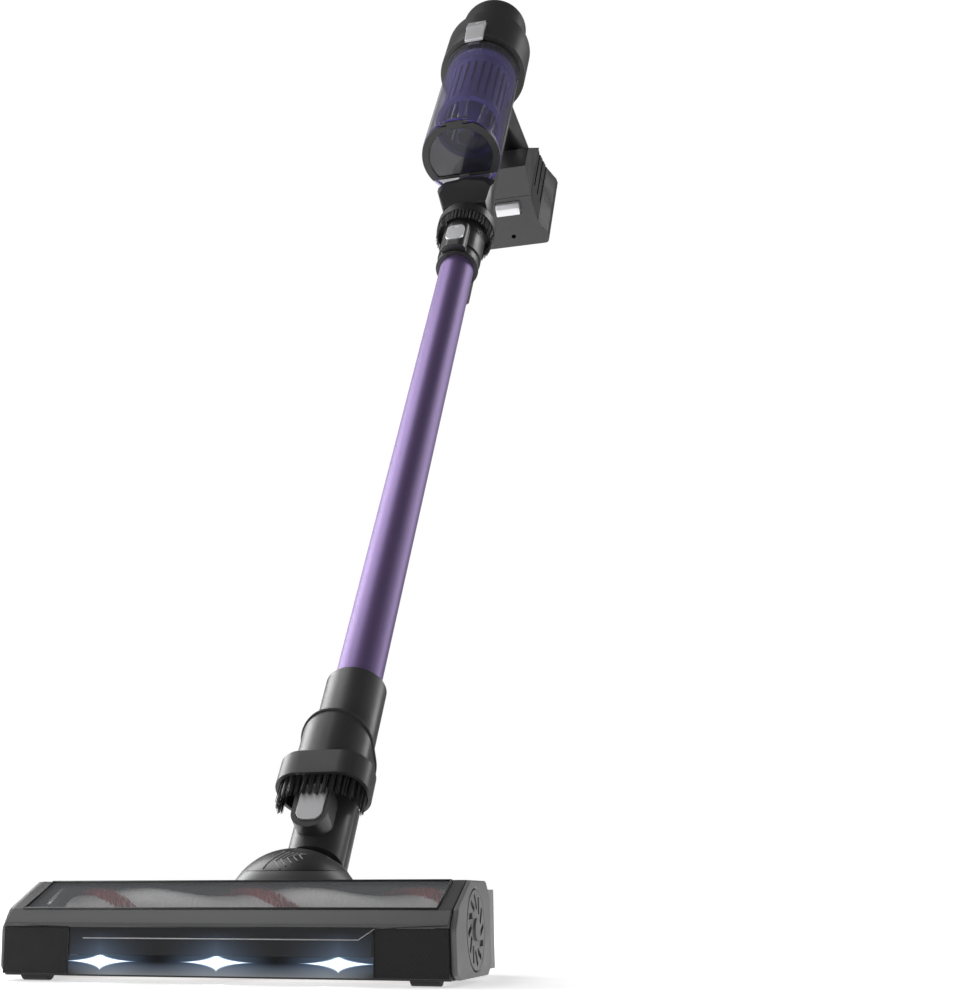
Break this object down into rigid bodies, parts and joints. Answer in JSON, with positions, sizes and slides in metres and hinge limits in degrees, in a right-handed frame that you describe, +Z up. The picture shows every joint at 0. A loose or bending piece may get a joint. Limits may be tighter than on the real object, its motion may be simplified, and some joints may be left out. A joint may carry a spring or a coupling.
{
  "type": "cordless stick vacuum",
  "caption": "Cordless stick vacuum: lit floor head with spiral brush, tilting and swivelling neck, purple wand, sliding dust brushes, clear cyclone bin, pistol grip and plug-in battery.",
  "frame": {"origin": "on the floor, right under the tilt axis of the neck", "axes": "+X across the floor head to its right end seen from the front, +Y to the rear, +Z up; the stick leans back in the Y-Z plane"},
  "size_m": [0.262, 1.038, 1.0992],
  "materials": {
    "purple_tube": "anodised purple, satin",
    "dark_shell": "satin dark grey plastic",
    "grey_shell": "satin mid grey plastic",
    "black_trim": "gloss black plastic",
    "black_textured": "fine diamond texture",
    "silver_button": "satin silver",
    "bristle": "black nylon bristle",
    "clear_bin": "clear tinted plastic",
    "clear_window": "clear plastic",
    "purple_plastic": "gloss purple plastic",
    "rubber_black": "soft black rubber",
    "motor_metal": "steel can",
    "fan_plastic": "moulded nylon",
    "filter_paper": "pleated filter paper",
    "battery_shell": "satin black plastic",
    "light_lens": "smoked lens",
    "circuit_board": "green solder mask",
    "led_light": "lit diode",
    "brush_core": "dark plastic core",
    "brush_pile": "soft red and grey spiral pile",
    "steel_pin": "ground steel"
  },
  "bodies": {
    "stick": {"wand_tube": "purple_tube", "lower_tube_collar": "grey_shell", "upper_tube_collar": "grey_shell", "contact_cover": "grey_shell", "inlet_nozzle": "dark_shell", "inlet_hood": "dark_shell", "main_frame": "dark_shell", "motor_housing": "dark_shell", "suction_motor": "motor_metal", "handle_shell": "dark_shell", "battery_dock": "dark_shell", "neck_socket": "dark_shell", "neck_tube": "grey_shell"},
    "wand_button": {"wand_release_button": "silver_button"},
    "head_button": {"head_release_button": "silver_button"},
    "lower_brush": {"lower_brush_shroud": "grey_shell", "lower_brush_bristles": "bristle"},
    "upper_brush": {"upper_brush_ring": "grey_shell", "upper_brush_bristles": "bristle"},
    "bin": {"dust_bin": "clear_bin", "cyclone_shroud": "purple_plastic", "cyclone_cone": "purple_plastic", "bin_seal": "rubber_black"},
    "bin_flap": {"bin_flap_ring": "black_trim", "bin_flap_window": "clear_window"},
    "flap_catch": {"flap_catch": "grey_shell"},
    "bin_button": {"bin_release_button": "silver_button"},
    "impeller": {"impeller": "fan_plastic"},
    "filter_cap": {"filter_cap": "dark_shell", "exhaust_filter": "filter_paper"},
    "trigger": {"trigger": "grey_shell"},
    "battery": {"battery_pack": "battery_shell"},
    "battery_button": {"battery_release_button": "silver_button"},
    "pivot": {"pivot_dome": "dark_shell", "pivot_collar": "grey_shell"},
    "head": {"head_base": "dark_shell", "head_top_cover": "grey_shell", "brush_window": "clear_window", "front_bumper": "grey_shell", "corner_panel_right": "black_textured", "corner_panel_left": "black_textured", "light_strip": "light_lens", "led_board": "circuit_board", "leds": "led_light", "right_end_cap": "grey_shell", "left_end_cap": "grey_shell", "rear_housing": "grey_shell", "brush_motor": "motor_metal", "drive_belt": "rubber_black", "pivot_pins": "steel_pin", "axles": "steel_pin"},
    "release_disc": {"brush_release_disc": "grey_shell"},
    "brush_roll": {"brush_core": "brush_core", "brush_sleeve": "brush_pile", "brush_pulley": "fan_plastic"},
    "motor_pulley": {"motor_pulley": "fan_plastic"},
    "front_roller_right": {"front_roller_right": "rubber_black"},
    "front_roller_left": {"front_roller_left": "rubber_black"},
    "rear_wheel_right": {"rear_wheel_right": "rubber_black"},
    "rear_wheel_left": {"rear_wheel_left": "rubber_black"}
  },
  "joints": [
    {"name": "wand_button_press", "type": "slide", "parent": "stick", "child": "wand_button", "axis": [0, 0.8018, -0.5976], "range_m": [0, 0.002], "stiffness_N_per_m": 400},
    {"name": "head_button_press", "type": "slide", "parent": "stick", "child": "head_button", "axis": [0, 0.8018, -0.5976], "range_m": [0, 0.002], "stiffness_N_per_m": 400},
    {"name": "lower_brush_slide", "type": "slide", "parent": "stick", "child": "lower_brush", "axis": [0, 0.5976, 0.8018], "range_m": [0, 0.045]},
    {"name": "upper_brush_slide", "type": "slide", "parent": "stick", "child": "upper_brush", "axis": [0, 0.5976, 0.8018], "range_m": [0, 0.008]},
    {"name": "bin_tilt", "type": "hinge", "parent": "stick", "child": "bin", "pos_m": [0, 0.53112, 0.78606], "axis": [1, 0, 0], "range_deg": [0, 25]},
    {"name": "bin_flap_open", "type": "hinge", "parent": "bin", "child": "bin_flap", "pos_m": [0, 0.48178, 0.82545], "axis": [-1, 0, 0], "range_deg": [0, 100]},
    {"name": "flap_catch_pull", "type": "slide", "parent": "bin_flap", "child": "flap_catch", "axis": [0, -0.5976, -0.8018], "range_m": [0, 0.002], "stiffness_N_per_m": 200},
    {"name": "bin_button_slide", "type": "slide", "parent": "bin", "child": "bin_button", "axis": [0, 0.5976, 0.8018], "range_m": [0, 0.003], "stiffness_N_per_m": 400},
    {"name": "impeller_spin", "type": "hinge", "parent": "stick", "child": "impeller", "pos_m": [0, 0.67228, 1.0156], "axis": [0, 0.5976, 0.8018], "continuous": true},
    {"name": "filter_cap_twist", "type": "hinge", "parent": "stick", "child": "filter_cap", "pos_m": [0, 0.69798, 1.05007], "axis": [0, 0.5976, 0.8018], "range_deg": [0, 40]},
    {"name": "trigger_pull", "type": "slide", "parent": "stick", "child": "trigger", "axis": [0, 0.0209, 0.9998], "range_m": [0, 0.003], "stiffness_N_per_m": 500},
    {"name": "battery_slide", "type": "slide", "parent": "stick", "child": "battery", "axis": [0, 0.8018, -0.5976], "range_m": [0, 0.05]},
    {"name": "battery_button_press", "type": "slide", "parent": "battery", "child": "battery_button", "axis": [0, 0.5976, 0.8018], "range_m": [0, 0.002], "stiffness_N_per_m": 400},
    {"name": "neck_swivel", "type": "hinge", "parent": "stick", "child": "pivot", "pos_m": [0, 0.03834, 0.05131], "axis": [0, 0.5976, 0.8018], "range_deg": [-45, 45]},
    {"name": "neck_tilt", "type": "hinge", "parent": "pivot", "child": "head", "pos_m": [0, 0, 0.03], "axis": [1, 0, 0], "range_deg": [-30, 36]},
    {"name": "brush_spin", "type": "hinge", "parent": "head", "child": "brush_roll", "pos_m": [0, -0.076, 0.0265], "axis": [1, 0, 0], "continuous": true},
    {"name": "brush_motor_spin", "type": "hinge", "parent": "head", "child": "motor_pulley", "pos_m": [-0.118, -0.014, 0.03], "axis": [1, 0, 0], "continuous": true},
    {"name": "release_disc_turn", "type": "hinge", "parent": "head", "child": "release_disc", "pos_m": [0.1288, -0.076, 0.0275], "axis": [1, 0, 0], "range_deg": [0, 90]},
    {"name": "front_roller_right_spin", "type": "hinge", "parent": "head", "child": "front_roller_right", "pos_m": [0.112, -0.112, 0.006], "axis": [1, 0, 0], "continuous": true},
    {"name": "front_roller_left_spin", "type": "hinge", "parent": "head", "child": "front_roller_left", "pos_m": [-0.112, -0.112, 0.006], "axis": [1, 0, 0], "continuous": true},
    {"name": "rear_wheel_right_spin", "type": "hinge", "parent": "head", "child": "rear_wheel_right", "pos_m": [0.101, 0.012, 0.008], "axis": [1, 0, 0], "continuous": true},
    {"name": "rear_wheel_left_spin", "type": "hinge", "parent": "head", "child": "rear_wheel_left", "pos_m": [-0.101, 0.012, 0.008], "axis": [1, 0, 0], "continuous": true}
  ],
  "couplings": [
    {"joint": "brush_motor_spin", "follows": "brush_spin", "ratio": 2.3333}
  ]
}
